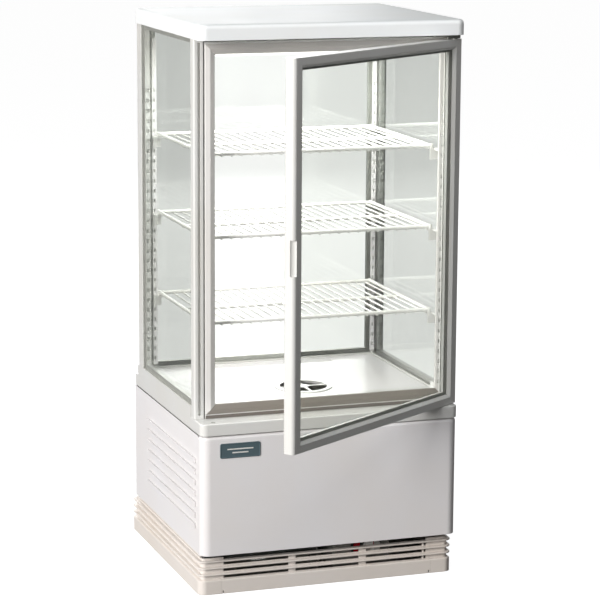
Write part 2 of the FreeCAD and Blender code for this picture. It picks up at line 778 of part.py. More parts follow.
def hinge_parts():
    x, y = S["hinge_x"], S["hinge_y"]
    top = S["door_top"]
    pins = new_body("hinge_pins", many=True)
    add_rod(pins, S["pin_radius"], 21, (x, y, S["sill_top"] - 13))
    add_rod(pins, S["pin_radius"], 13.5, (x, y, top - 8))
    bushes = new_body("hinge_bushes", many=True)
    for low in (S["door_bottom"] - 0.8, top - 8.4):
        add_rod(bushes, 5 - 0.02, 9.2, (0, 0, low))
        cut_rod(bushes, S["pin_radius"] + S["fit"], 15, (0, 0, low - 1))
    hang_on_door(bushes)
    plate = new_body("hinge_brackets", many=True)
    add_box(plate, (x - 13.9, x + 5.4), (y - 6.9, S["post_front"] - 0.2), (S["sill_top"] - 2.5, S["sill_top"]))
    cut_rod(plate, S["pin_radius"] + 0.03, 10, (x, y, S["sill_top"] - 5))
    upper_bracket(plate)


# ---------------------------------------------------------------- shelves

def wire_shelf(label, height):
    """A welded wire shelf: a rod frame, cross wires and a raised back stop."""
    body = new_body(label)
    half, front, rear = S["shelf_half"], S["shelf_front"], S["shelf_rear"]
    bar, wire = S["shelf_bar"], S["shelf_wire"]
    for y in (front, rear):
        add_rod(body, bar, half * 2, (-half, y, 0), "x")
    for x in (-half, half):
        add_rod(body, bar - 0.15, rear - front, (x, front, 0), "y")
        for y in (front, rear):
            add_rod(body, bar + 0.4, bar * 2 + 0.8, (x, y, -bar - 0.4))
    add_rod(body, bar, half * 2, (-half, (front + rear) / 2, -bar), "x")
    strand = add_rod(body, wire, rear - front + 5, (-S["wire_pitch"] * 11, front - 2.5, -bar), "y")
    repeat(body, [strand], "X_Axis", S["wire_count"], S["wire_pitch"])
    place(body, 0, 0, height)


def shelf_supports():
    """Slotted rear standards, a plain one at the front left, and the clips that carry the shelves."""
    strips = new_body("shelf_standards", many=True)
    slots = []
    for side in (-1, 1):
        across = (side * 194.5, side * 187) if side < 0 else (187, 194.5)
        rear = (S["glass_back"] - 26, S["glass_back"] - 24)
        add_box(strips, across, rear, (300, 838))
        hole = (side * 191 - 1.5, side * 191 + 1.5)
        slots.append(cut_box(strips, hole, (rear[0] - 1, rear[1] + 1), (308, 314)))
        if side < 0:
            add_box(strips, across, (S["frame_back"] + 0.05, S["frame_back"] + 2), (300, 838))
    repeat(strips, slots, "Z_Axis", S["slot_count"], S["slot_pitch"])
    clips = new_body("shelf_clips", many=True)
    for height in (S["shelf_low"], S["shelf_middle"], S["shelf_high"]):
        top = height - S["shelf_bar"] - 0.45
        for side in (-1, 1):
            across = (-194, -181) if side < 0 else (181, 194)
            for end in (-1, 1):
                wall = S["frame_back"] + 2.05 if end < 0 else S["glass_back"] - 26.05
                tip = wall - end * 14
                along = (wall, tip) if end < 0 else (tip, wall)
                add_box(clips, across, along, (top - 3, top))
                stem = wall - end * 2
                along = (wall, stem) if end < 0 else (stem, wall)
                add_box(clips, across, along, (top - 18, top))
        hook = (S["frame_front"] + 4.05, S["frame_back"] + 3)
        add_box(clips, (188, 193.9), hook, (top - 3, top))


def shelves():
    wire_shelf("wire_shelf_low", S["shelf_low"])
    wire_shelf("wire_shelf_middle", S["shelf_middle"])
    wire_shelf("wire_shelf_high", S["shelf_high"])
    shelf_supports()


# ---------------------------------------------------------------- insulated well

def cold_well():
    """Foam tub under the display space, with the evaporator, its fan and the deck over it."""
    well = new_body("insulated_well")
    half = S["side_face"] - 22
    front, back = S["frame_back"] + 1, S["glass_back"] - 21
    low, deck = S["tub_bottom"], S["deck"]
    add_box(well, (-half, half), (front, back), (low, deck - 4))
    cut_box(well, (-half + 22, half - 22), (front + 22, back - 22), (low + 25, deck + 1))
    cut_rod(well, 5, 40, (-140, back - 40, low - 5))
    deck_tray = new_body("deck_tray")
    add_box(deck_tray, (-half, half), (front, back), (deck - 4, deck))
    slot = cut_box(deck_tray, (-110, 110), (back - 34, back - 30), (deck - 10, deck + 5))
    repeat(deck_tray, [slot], "Y_Axis", 3, 8)
    cut_rod(deck_tray, 42, 20, (0, -60, deck - 10))
    guard = new_body("fan_guard")
    add_rod(guard, 46, 1.5, (0, -60, deck + 0.05))
    for radius in (38, 26, 14):
        cut_rod(guard, radius, 5, (0, -60, deck - 1))
        add_rod(guard, radius - 4, 1.5, (0, -60, deck + 0.05))
    add_box(guard, (-44, 44), (-62, -58), (deck + 0.05, deck + 1.55))
    add_box(guard, (-2, 2), (-104, -16), (deck + 0.05, deck + 1.55))
    coil = new_body("evaporator_coil")
    for row in range(3):
        add_rod(coil, 4, 260, (-130, 30 + 22 * row, 212), "x")
        add_rod(coil, 4, 260, (-130, 30 + 22 * row, 236), "x")
    fin = add_box(coil, (-126, -125), (20, 84), (202, 246))
    repeat(coil, [fin], "X_Axis", 22, 12)
    motor = new_body("evaporator_fan_motor")
    add_rod(motor, 15, 38, (0, -60, 198))
    add_box(motor, (-60, 60), (-66, -54), (185, 199))
    add_rod(motor, 2.5, 25.5, (0, -60, 235))
    axial_fan("evaporator_fan_blade", 36, 0, -60, 250, "z")


def axial_fan(label, radius, x, y, z, along):
    """A hub with pitched blades, bored to turn freely on its motor shaft."""
    body = new_body(label)
    add_rod(body, 9, 14, (0, 0, 0))
    blade = body.newObject("PartDesign::AdditiveBox", "Blade")
    blade.Length = radius - 6
    blade.Width = 20
    blade.Height = 1.6
    tilt = Rotation(Vector(1, 0, 0), 28)
    blade.Placement = Placement(Vector(6, 0, 6) + tilt.multVec(Vector(0, -10, -0.8)), tilt)
    repeat_round(body, [blade], "Z_Axis", S["blade_count"])
    cut_rod(body, 2.5 + S["fit"], 12, (0, 0, -1))
    body.Placement = Placement(Vector(x, y, z), AXIS_TURN[along])
    return body


# ---------------------------------------------------------------- machine compartment

def compressor():
    """Welded can on a foot plate, carried on four rubber grommets."""
    body = new_body("compressor")
    shell = outline(body, "XZ_Plane", [
        (0, 20), (40, 20), (50, 28), (52, 36), (52, 82), (49, 84), (49, 96), (40, 112), (22, 120), (0, 121)])
    turn(body, shell, "Z_Axis")
    add_box(body, (-60, 60), (-38, 38), (18, 21.5))
    for x in (-52, 52):
        for y in (-30, 30):
            cut_rod(body, 4, 10, (x, y, 15))
    place(body, 95, 95, 0)
    feet = new_body("compressor_grommets", many=True)
    for x in (43, 147):
        for y in (65, 125):
            add_rod(feet, 9, 13.4, (x, y, 4.55))
            add_rod(feet, 3.9, 8, (x, y, 17))


def condenser():
    coil = new_body("condenser_coil")
    fins = add_box(coil, (-174, -173.2), (-150, -118), (30, 150))
    repeat(coil, [fins], "X_Axis", 28, 6)
    for row in range(5):
        add_rod(coil, 4, 176, (-181, -142, 42 + 24 * row), "x")
        add_rod(coil, 4, 176, (-181, -126, 42 + 24 * row), "x")
    add_box(coil, (-183, -181), (-150, -118), (4.55, 152))
    add_box(coil, (-7, -5), (-150, -118), (4.55, 152))
    shroud = new_body("condenser_fan_shroud")
    add_box(shroud, (-183, -5), (-117, -115), (4.55, 152))
    cut_rod(shroud, S["fan_radius"] + 3, 10, (-94, -120, 86), "y")
    add_box(shroud, (-156, -32), (-117, -115), (80, 92))
    for x in (-155, -37):
        add_box(shroud, (x, x + 4), (-115.5, -62), (80, 92))
    add_box(shroud, (-155, -33), (-64, -62), (80, 92))
    cut_box(shroud, (-150.9, -37.1), (-118, -114), (79, 93))
    cut_rod(shroud, 16.05, 10, (-94, -68, 86), "y")
    motor = new_body("condenser_fan_motor")
    add_rod(motor, 16, 30, (-94, -76, 86), "y")
    add_rod(motor, 20, 10, (-94, -61.9, 86), "y")
    add_rod(motor, 2.5, 27.5, (-94, -102.5, 86), "y")
    axial_fan("condenser_fan_blade", 55, -94, -92, 86, "y_back")


AXIS_TURN["y_back"] = Rotation(Vector(1, 0, 0), 90)


def drain_tray():
    body = new_body("drip_tray")
    add_box(body, (-185, -60), (60, 170), (4.55, 30))
    cut_box(body, (-183, -62), (62, 168), (6.5, 40))


def controls():
    """Grey control box behind the grille with a thermostat dial and a rocker switch."""
    x, z, face = S["knob_x"], S["knob_z"], S["control_front"]
    sx = S["switch_x"]
    body = new_body("control_box")
    add_box(body, (16, 112), (face, face + 52), (20, 66))
    cut_box(body, (18, 110), (face + 2, face + 54), (22, 64))
    cut_rod(body, 3.1, 10, (x, face - 5, z), "y")
    cut_box(body, (sx - 7, sx + 7), (face - 5, face + 5), (z - 10, z + 10))
    add_box(body, (16, 112), (face + 50.5, face + 52), (4.55, 66))
    shaft = new_body("thermostat")
    add_box(shaft, (x - 16, x + 16), (face + 2.05, face + 22), (z - 14, z + 14))
    add_rod(shaft, 3, 10.5, (x, face - 7.5, z), "y")
    knob = new_body("thermostat_knob")
    section = outline(knob, "XZ_Plane", [
        (0, 0), (12, 0), (13.4, 2), (S["knob_radius"], 8.5), (0, 8.5)])
    turn(knob, section, "Z_Axis")
    add_box(knob, (-2.2, 2.2), (-12.5, 12.5), (-2.5, 1))
    cut_rod(knob, 3.05, 8, (0, 0, 1.9))
    place(knob, x, face - 9.5, z, AXIS_TURN["y"])
    bezel = new_body("switch_housing")
    add_box(bezel, (sx - 9, sx + 9), (face - 2, face), (z - 12, z + 12))
    add_box(bezel, (sx - 6.95, sx + 6.95), (face - 0.5, face + 18), (z - 9.95, z + 9.95))
    cut_box(bezel, (sx - 5, sx + 5), (face - 5, face + 10), (z - 8, z + 8))
    rocker = new_body("switch_rocker")
    section = outline(rocker, "YZ_Plane", [
        (-3.2, -7), (-7.5, -7), (-5, 0), (-6, 7.4), (-1.5, 7.4), (4, 0)])
    pad(rocker, section, 9.8, both_ways=True)
    place(rocker, sx, face + 1.5, z)
    cut_rod(rocker, 1.05, 20, (-10, 0, 0), "x")
    add_rod(bezel, 1, 12, (sx - 6, face + 1.5, z), "x")


def fasteners():
    """Pan-head screws: four in the sill ledge and rail, and four in the rear panel."""
    body = new_body("screws", many=True)
    for x in (-190, 165):
        add_rod(body, 3.2, 0.8, (x, -187, S["sill_top"]))
    for x in (-185, 185):
        for z in (76, 240):
            add_rod(body, 3.5, 2, (x, S["back_face"], z), "y")


# ---------------------------------------------------------------- assembly

def check_and_export():
    """Stop on any broken feature or shape, then write one STEP file for each sub-part."""
    doc.recompute()
    broken = [item.Name for item in doc.Objects if {"Invalid", "Error"} & set(item.State)]
    broken += [label for label, piece in parts.items() if piece.Shape.isNull() or not piece.Shape.isValid()]
    if broken:
        raise RuntimeError("broken: " + ", ".join(broken))
    os.makedirs("parts", exist_ok=True)
    for label, piece in parts.items():
        piece.Shape.exportStep("parts/%s.step" % label)
        print(label, len(piece.Shape.Solids), round(piece.Shape.Volume))


base_parts()
lower_cabinet()
sill_frame()
corner_post("latch_side_post", -1)
corner_post("hinge_side_post", 1)
front_frame()
rear_posts()
glazing()
top_parts()
door_frame()
door_bead()
door_seal()
hinge_parts()
shelves()
cold_well()
compressor()
condenser()
drain_tray()
controls()
fasteners()
check_and_export()
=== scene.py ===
"""Looks for the glass door merchandiser: materials, fine parts, light and camera.

Everything is in metres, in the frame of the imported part: origin under the middle of the base,
-Y to the door side, +X to the hinge side. The door stands ajar at rest.
"""
import json
import math
import random

import bmesh
import bpy
from mathutils import Matrix, Vector

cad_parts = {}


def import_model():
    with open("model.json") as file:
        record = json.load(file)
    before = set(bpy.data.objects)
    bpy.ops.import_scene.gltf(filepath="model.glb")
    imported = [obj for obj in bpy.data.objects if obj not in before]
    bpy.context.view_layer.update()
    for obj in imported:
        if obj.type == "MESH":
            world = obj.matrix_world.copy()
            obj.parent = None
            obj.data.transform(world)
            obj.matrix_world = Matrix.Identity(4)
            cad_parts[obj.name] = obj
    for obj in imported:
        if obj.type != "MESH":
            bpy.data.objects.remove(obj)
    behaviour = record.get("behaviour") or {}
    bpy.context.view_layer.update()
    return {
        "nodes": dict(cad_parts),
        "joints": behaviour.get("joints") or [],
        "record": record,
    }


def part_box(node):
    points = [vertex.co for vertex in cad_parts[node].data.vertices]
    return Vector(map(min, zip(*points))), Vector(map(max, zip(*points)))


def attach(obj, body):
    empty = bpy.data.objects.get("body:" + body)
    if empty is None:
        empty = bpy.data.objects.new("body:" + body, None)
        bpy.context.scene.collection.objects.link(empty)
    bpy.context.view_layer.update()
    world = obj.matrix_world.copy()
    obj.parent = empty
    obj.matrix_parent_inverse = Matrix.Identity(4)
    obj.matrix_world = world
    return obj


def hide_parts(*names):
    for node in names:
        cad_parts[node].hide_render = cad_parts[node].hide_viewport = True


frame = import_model()
random.seed(11)
nodes = frame["nodes"]
joints = {joint["name"]: joint for joint in frame["joints"]}

MM = 0.001
DUST_GREY = (0.2, 0.22, 0.22, 1.0)
STRIP_RIDGE = 3.2 * MM
# The side panels take a steel finish whose strong, wide crease darkening paints the shade lines under the
# louvres.
SPECIAL_FINISH = {"top_cover": "cover_white", "left_panel": "louvre_shaded_steel", "right_panel": "louvre_shaded_steel"}


# ---------------------------------------------------------------- node graph helpers

def add(tree, kind, settings=None, **inputs):
    """A shader node with its settings and inputs filled in; an input may be a socket."""
    node = tree.nodes.new(kind)
    for name, value in (settings or {}).items():
        setattr(node, name, value)
    for name, value in inputs.items():
        fill(tree, node.inputs[name.replace("_", " ")], value)
    return node


def fill(tree, socket, value):
    if isinstance(value, bpy.types.NodeSocket):
        tree.links.new(value, socket)
    else:
        socket.default_value = value


def mix_colour(tree, factor, first, second, mode="MIX"):
    node = tree.nodes.new("ShaderNodeMix")
    node.data_type = "RGBA"
    node.blend_type = mode
    fill(tree, node.inputs[0], factor)
    fill(tree, node.inputs[6], first)
    fill(tree, node.inputs[7], second)
    return node.outputs[2]


def maths(tree, operation, first, second=0.0):
    node = tree.nodes.new("ShaderNodeMath")
    node.operation = operation
    fill(tree, node.inputs[0], first)
    fill(tree, node.inputs[1], second)
    return node.outputs[0]


def ramp(tree, value, low, high, out_low=0.0, out_high=1.0):
    """value from low..high, clamped and mapped to out_low..out_high."""
    node = tree.nodes.new("ShaderNodeMapRange")
    for index, number in enumerate((value, low, high, out_low, out_high)):
        fill(tree, node.inputs[index], number)
    return node.outputs[0]


def noise(tree, scale, detail=3.0, stretch=None):
    """Noise in object space, scale in features per metre; stretch squeezes it along axes."""
    where = add(tree, "ShaderNodeTexCoord").outputs["Object"]
    if stretch:
        where = add(tree, "ShaderNodeMapping", Vector=where, Scale=stretch).outputs[0]
    return add(tree, "ShaderNodeTexNoise", Vector=where, Scale=scale, Detail=detail).outputs[0]


def rgb(red, green, blue):
    """An sRGB colour in 0..255 as linear RGBA."""
    def linear(level):
        level = level / 255
        return level / 12.92 if level < 0.04045 else ((level + 0.055) / 1.055) ** 2.4
    return (linear(red), linear(green), linear(blue), 1.0)


def new_tree(name):
    material = bpy.data.materials.new(name)
    material.use_nodes = True
    material.node_tree.nodes.clear()
    return material, material.node_tree


def darker_copy(colour, crease=0.75):
    """The same colour a little darker, for random mottling and for the painted shade in hollows."""
    return (colour[0] * crease, colour[1] * crease * 0.98, colour[2] * crease * 0.95, 1.0)


def surface(name, colour, roughness, grain=900.0, bump=0.1, spread=0.03, metallic=0.0,
            coat=0.0, crease=0.75, soften=0.0006, stretch=None, reach=0.003, dust=0.0, gloss=0.5):
    """The common solid finish: faint mottling, painted shade in tight creases, grain and softened edges.

    Painted shade darkens the colour within reach of a crease, in patches; dust greys the faces that look up.
    """
    material, tree = new_tree(name)
    cloud = noise(tree, 7.0, 4.0)
    tone = mix_colour(tree, ramp(tree, cloud, 0.3, 0.7), colour, darker_copy(colour, 1 - spread))
    # Painted shade: an occlusion mask darkens the colour in creases and hollows, where shade falls.
    hollow = add(tree, "ShaderNodeAmbientOcclusion", {"samples": 6}, Distance=reach).outputs["AO"]
    patchy = ramp(tree, noise(tree, 45.0), 0.2, 0.8, 0.75, 1.0)
    crease_shade = maths(tree, "MULTIPLY", ramp(tree, hollow, 0.25, 0.8, 1.0, 0.0), patchy)
    tone = mix_colour(tree, crease_shade, tone, darker_copy(colour, crease))
    facing = add(tree, "ShaderNodeSeparateXYZ", Vector=add(tree, "ShaderNodeNewGeometry").outputs["Normal"])
    lying = ramp(tree, facing.outputs[2], 0.6, 1.0, 0.0, dust)
    tone = mix_colour(tree, lying, tone, DUST_GREY)
    dullest = min(1.0, roughness * 1.1)
    smear = ramp(tree, noise(tree, 9.0, 2.0, stretch), 0.2, 0.8, roughness * 0.92, dullest)
    fine = noise(tree, grain, 2.0, stretch)
    rounded = add(tree, "ShaderNodeBevel", {"samples": 4}, Radius=soften).outputs[0]
    relief = add(tree, "ShaderNodeBump", Strength=bump, Distance=0.0001, Height=fine, Normal=rounded)
    bsdf = add(tree, "ShaderNodeBsdfPrincipled", Base_Color=tone, Roughness=smear, Metallic=metallic,
               Coat_Weight=coat, Normal=relief.outputs[0])
    bsdf.inputs["Coat Roughness"].default_value = 0.12
    bsdf.inputs["Specular IOR Level"].default_value = gloss
    add(tree, "ShaderNodeOutputMaterial", Surface=bsdf.outputs[0])
    return material


def clear_glass(name, tint, film=0.02):
    """Thin pane: passes light straight, reflects by Fresnel, with a faint film of smears."""
    material, tree = new_tree(name)
    smears = noise(tree, 14.0, 6.0, (1.0, 1.0, 0.4))
    entering = maths(tree, "SUBTRACT", 1.0, add(tree, "ShaderNodeNewGeometry").outputs["Backfacing"])
    fresnel = maths(tree, "MULTIPLY", add(tree, "ShaderNodeFresnel", IOR=1.5).outputs[0], entering)
    shine = add(tree, "ShaderNodeBsdfGlossy", Color=(0.95, 0.97, 0.96, 1.0),
                Roughness=ramp(tree, smears, 0.4, 0.8, 0.02, 0.12))
    through = add(tree, "ShaderNodeBsdfTransparent", Color=tint)
    haze = add(tree, "ShaderNodeBsdfDiffuse", Color=(0.8, 0.85, 0.82, 1.0))
    veil = maths(tree, "MULTIPLY", ramp(tree, smears, 0.35, 0.8, 0.3, 1.0), film)
    body = add(tree, "ShaderNodeMixShader", Fac=veil)
    tree.links.new(through.outputs[0], body.inputs[1])
    tree.links.new(haze.outputs[0], body.inputs[2])
    whole = add(tree, "ShaderNodeMixShader", Fac=fresnel)
    tree.links.new(body.outputs[0], whole.inputs[1])
    tree.links.new(shine.outputs[0], whole.inputs[2])
    add(tree, "ShaderNodeOutputMaterial", Surface=whole.outputs[0])
    return material


def diffuser(name, colour, strength):
    """A milky lamp part that glows a little."""
    material = surface(name, colour, 0.35, grain=700.0)
    tree = material.node_tree
    bsdf = [node for node in tree.nodes if node.type == "BSDF_PRINCIPLED"][0]
    bsdf.inputs["Emission Color"].default_value = colour
    bsdf.inputs["Emission Strength"].default_value = strength
    return material


def make_materials():
    """One material for each of the record's slots, and a few for the fine parts."""
    return {
        # In each finish, crease sets how dark the painted shade in creases goes, and reach sets how far it
        # spreads.
        "white_plastic": surface("white_plastic", rgb(228, 228, 226), 0.32, 700.0, 0.06, 0.02, coat=0.15),
        "base_plastic": surface("base_plastic", rgb(233, 226, 220), 0.45, 1500.0, 0.15, 0.03, crease=0.6),
        "white_steel": surface("white_steel", rgb(238, 236, 238), 0.35, 420.0, 0.03, 0.01, coat=0.15,
                               crease=0.85),
        "white_wire": surface("white_wire", rgb(246, 246, 243), 0.35, 600.0, 0.1, 0.03, coat=0.2),
        "clear_glass": clear_glass("clear_glass", (0.99, 0.994, 0.988, 1.0), 0.014),
        "spacer_metal": surface("spacer_metal", rgb(214, 215, 212), 0.4, 1200.0, 0.1, 0.05, 0.3),
        "seal_rubber": surface("seal_rubber", rgb(52, 51, 49), 0.6, 1200.0, 0.3, 0.15),
        "dark_plate": surface("dark_plate", rgb(92, 112, 120), 0.3, 800.0, 0.06, 0.1, 0.2, coat=0.5),
        "zinc_steel": surface("zinc_steel", rgb(186, 186, 181), 0.38, 300.0, 0.3, 0.2, 1.0,
                              stretch=(1.0, 6.0, 1.0)),
        "grey_plastic": surface("grey_plastic", rgb(150, 149, 145), 0.5, 1500.0, 0.25, 0.06),
        "black_plastic": surface("black_plastic", rgb(28, 28, 28), 0.48, 1500.0, 0.3, 0.2),
        "red_plastic": surface("red_plastic", rgb(190, 24, 40), 0.25, 900.0, 0.08, 0.05, coat=0.4),
        "black_paint": surface("black_paint", rgb(24, 24, 25), 0.35, 260.0, 0.4, 0.2, coat=0.3),
        "coil_metal": surface("coil_metal", rgb(176, 178, 176), 0.45, 900.0, 0.4, 0.2, 0.9),
        "lamp_white": diffuser("lamp_white", rgb(244, 245, 240), 1.5),
        "foam": surface("foam", rgb(236, 234, 226), 0.75, grain=500.0, bump=0.3, spread=0.05),
        "copper": surface("copper", rgb(188, 110, 74), 0.32, 300.0, 0.3, 0.3, 1.0),
        "cover_white": surface("cover_white", rgb(242, 245, 247), 0.5, 700.0, 0.03, 0.01, dust=0.38,
                               gloss=0.15),
        # Painted shade: strong, wide occlusion darkening draws the louvres' shade lines.
        "louvre_shaded_steel": surface("louvre_shaded_steel", rgb(240, 238, 240), 0.35, 420.0, 0.03, 0.01, crease=0.45,
                                 reach=0.008),
        "breaker_grey": surface("breaker_grey", rgb(222, 220, 218), 0.45, 1200.0, 0.15, 0.03),
        # Darker copies of breaker_grey for the strip's bottom and top members: painted shade.
        "breaker_bottom_shade": surface("breaker_bottom_shade", rgb(142, 136, 129), 0.45, 1200.0, 0.15, 0.03),
        "breaker_top_shade": surface("breaker_top_shade", rgb(200, 197, 194), 0.45, 1200.0, 0.15, 0.03),
        # Dark grey for the painted shade at the foot of the door's ring.
        "foot_shade_grey": surface("foot_shade_grey", rgb(120, 114, 108), 0.6, 1200.0, 0.15, 0.05),
    }


materials = make_materials()


def dress_frame():
    """Give each CAD node the material of its slot, or its own special finish."""
    for part in frame["record"]["subparts"]:
        thing = nodes[part["node"]]
        thing.data.materials.clear()
        finish = SPECIAL_FINISH.get(part["node"], part["material_slot"])
        thing.data.materials.append(materials[finish])


# ---------------------------------------------------------------- mesh helpers

def finish_piece(name, mesh_data, slot, body, smooth=True, looks=None):
    """Wrap a bmesh as a named object riding on a body; looks lists materials other than the slot's."""
    bmesh.ops.recalc_face_normals(mesh_data, faces=mesh_data.faces)
    mesh = bpy.data.meshes.new(name)
    mesh_data.to_mesh(mesh)
    mesh_data.free()
    piece = bpy.data.objects.new(name, mesh)
    bpy.context.collection.objects.link(piece)
    for look in looks or [slot]:
        mesh.materials.append(materials[look])
    for face in mesh.polygons:
        face.use_smooth = smooth
    if smooth:
        mesh.set_sharp_from_angle(angle=math.radians(35))
    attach(piece, body)
    return piece


def lathe(profile, steps=48):
    """Revolve (radius, height) points about Z; ends on the axis close the form."""
    shape = bmesh.new()
    rings = []
    for radius, height in profile:
        if radius < 1e-6:
            rings.append([shape.verts.new((0, 0, height))])
            continue
        angles = [2 * math.pi * step / steps for step in range(steps)]
        rings.append([shape.verts.new((radius * math.cos(a), radius * math.sin(a), height)) for a in angles])
    for low, high in zip(rings, rings[1:]):
        for step in range(steps):
            after = (step + 1) % steps
            if len(low) == 1 and len(high) == 1:
                continue
            if len(low) == 1:
                shape.faces.new((low[0], high[step], high[after]))
            elif len(high) == 1:
                shape.faces.new((low[step], low[after], high[0]))
            else:
                shape.faces.new((low[step], low[after], high[after], high[step]))
    return shape


def moved(shape, matrix):
    bmesh.ops.transform(shape, matrix=matrix, verts=shape.verts)
    return shape


def rounded_outline(half_x, half_z, radius, steps=8):
    """Points and outward normals round a rectangle with rounded corners, in the XZ plane."""
    outline = []
    for corner in range(4):
        sign_x = (1, -1, -1, 1)[corner]
        sign_z = (1, 1, -1, -1)[corner]
        for step in range(steps + 1):
            angle = math.pi / 2 * (corner + step / steps)
            normal = Vector((math.cos(angle), 0, math.sin(angle)))
            centre = Vector((sign_x * (half_x - radius), 0, sign_z * (half_z - radius)))
            outline.append((centre + normal * radius, normal))
    return outline


def ring_sweep(outline, profile):
    """Sweep closed profile points (outward, depth along Y) round an outline."""
    shape = bmesh.new()
    loops = []
    for point, normal in outline:
        loops.append([shape.verts.new(point + normal * out + Vector((0, deep, 0))) for out, deep in profile])
    count = len(profile)
    for index, loop in enumerate(loops):
        after = loops[(index + 1) % len(loops)]
        for side in range(count):
            nxt = (side + 1) % count
            shape.faces.new((loop[side], loop[nxt], after[nxt], after[side]))
    return shape


def tube(name, points, radius, slot, body, cyclic=False):
    """A round tube or cable through points, with smooth bends."""
    curve = bpy.data.curves.new(name, "CURVE")
    curve.dimensions = "3D"
    curve.bevel_depth = radius
    curve.bevel_resolution = 4
    curve.resolution_u = 10
    curve.use_fill_caps = True
    line = curve.splines.new("BEZIER")
    line.bezier_points.add(len(points) - 1)
    line.use_cyclic_u = cyclic
    for spot, place in zip(line.bezier_points, points):
        spot.co = place
        spot.handle_left_type = "AUTO"
        spot.handle_right_type = "AUTO"
    piece = bpy.data.objects.new(name, curve)
    bpy.context.collection.objects.link(piece)
    curve.materials.append(materials[slot])
    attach(piece, body)
    return piece


def block(shape, low, high):
    """Add a box between two corners to a bmesh."""
    size = Vector(high) - Vector(low)
    middle = (Vector(high) + Vector(low)) / 2
    matrix = Matrix.Translation(middle) @ Matrix.Diagonal((*size, 1))
    return bmesh.ops.create_cube(shape, size=1, matrix=matrix)["verts"]


# ---------------------------------------------------------------- door parts

def door_turn():
    """Matrix that swings a part built closed, in place, to the door's resting angle."""
    joint = joints["door_swing"]
    hinge = Vector(joint["pos_m"])
    rest = math.radians(-joint["range_deg"][0])
    return Matrix.Translation(hinge) @ Matrix.Rotation(rest, 4, "Z") @ Matrix.Translation(-hinge)


def closed_box(node):
    """A door node's box with the door swung shut."""
    back = door_turn().inverted()
    corners = [back @ vertex.co for vertex in nodes[node].data.vertices]
    low = Vector([min(corner[axis] for corner in corners) for axis in range(3)])
    high = Vector([max(corner[axis] for corner in corners) for axis in range(3)])
    return low, high


def door_gasket():
    """Bellows seal: a flat foot on the door, a folded neck and a fat magnet lip."""
    low, high = closed_box("door_gasket")
    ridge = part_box("front_frame")[0].y - STRIP_RIDGE
    gap = 0.2 * MM
    deep = min(high.y, ridge - gap) - low.y
    half = 4 * MM
    side = [(1.0, 0.0), (1.0, 0.1), (0.7, 0.16), (0.6, 0.34),
            (0.84, 0.42), (0.94, 0.7), (0.8, 0.95), (0.6, 1.0)]
    profile = [(-out * half, up * deep) for out, up in side]
    profile += [(out * half, up * deep) for out, up in reversed(side)]
    outline = rounded_outline((high.x - low.x) / 2 - half, (high.z - low.z) / 2 - half, 3 * MM, 4)
    shape = ring_sweep(outline, profile)
    middle = (low + high) / 2
    moved(shape, Matrix.Translation((middle.x, low.y, middle.z)))
    moved(shape, door_turn())
    seal = finish_piece("door_seal", shape, "seal_rubber", "door")
    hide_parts("door_gasket")


# ---------------------------------------------------------------- cabinet trim

def breaker_strip():
    """Grey ridged strip round the door opening, mitred, with clip slots beside the hinge. Its bottom member
    and its top member, under the cover's overhang, take darker copies of the same grey as painted shade.

    The profile is in mm: out from the opening's edge, and deep from the ring's face towards +Y.
    """
    low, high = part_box("front_frame")
    left, right = low.x + 15.5 * MM, high.x - 15 * MM
    bottom, top = low.z + 21.7 * MM, high.z - 18 * MM
    corners = ((left, bottom, -1, -1), (right, bottom, 1, -1), (right, top, 1, 1), (left, top, -1, 1))
    profile = [(-0.3, 4.0), (-0.3, -0.6), (0.6, -1.1), (3.0, -1.9), (5.6, -2.75), (7.2, -3.2), (8.0, -3.2),
               (14.4, -1.2), (15.0, -0.5), (15.0, 0.5), (5.6, 0.5), (3.0, 0.5), (0.1, 0.5), (0.1, 4.0)]
    slot_near, slot_far, behind_far, behind_near = 3, 4, 10, 11
    slot_count, slot_low, slot_pitch, slot_tall = 28, 306.6, 16.4, 5.8
    count = len(profile)
    shape = bmesh.new()

    def section(x, z, way_x, way_z):
        return [shape.verts.new((x + way_x * out * MM, low.y + deep * MM, z + way_z * out * MM))
                for out, deep in profile]

    def join(near, far, skip=()):
        for side in range(count):
            if side not in skip:
                nxt = (side + 1) % count
                shape.faces.new((near[side], near[nxt], far[nxt], far[side]))

    ends = [section(*corner) for corner in corners]
    join(ends[0], ends[1])
    join(ends[2], ends[3])
    join(ends[3], ends[0])
    last = ends[1]
    for slot in range(slot_count):
        z = (slot_low + slot_pitch * slot) * MM
        start, stop = section(right, z, 1, 0), section(right, z + slot_tall * MM, 1, 0)
        join(last, start)
        join(start, stop, (slot_near, behind_far))
        for first, second in ((slot_near, behind_near), (behind_far, slot_far)):
            shape.faces.new((start[first], start[second], stop[second], stop[first]))
        for loop in (start, stop):
            shape.faces.new((loop[slot_near], loop[slot_far], loop[behind_far], loop[behind_near]))
        last = stop
    join(last, ends[2])
    strip = finish_piece("breaker_strip", shape, "grey_plastic", "cabinet", smooth=False,
                         looks=["breaker_grey", "breaker_bottom_shade", "breaker_top_shade"])
    # Painted shade: the bottom member takes the much darker copy of the strip's grey, and the top member the
    # slightly darker one.
    for face in strip.data.polygons[:2 * count]:
        face.material_index = 1 if face.index < count else 2


def ring_foot_shade():
    """Dark strip along the foot of the door's ring on the sill: painted shade for the gap between ring and
    sill.
    """
    low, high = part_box("front_frame")
    foot = bmesh.new()
    block(foot, (low.x + 1 * MM, low.y - 0.7 * MM, low.z + 0.1 * MM),
          (high.x - 0.5 * MM, low.y + 0.3 * MM, low.z + 5 * MM))
    bmesh.ops.bevel(foot, geom=foot.edges[:], offset=0.25 * MM, segments=2, affect="EDGES")
    # Painted shade: a dark grey strip stands in for the shadow in the gap between ring and sill.
    finish_piece("ring_foot_shade", foot, "grey_plastic", "cabinet", looks=["foot_shade_grey"])


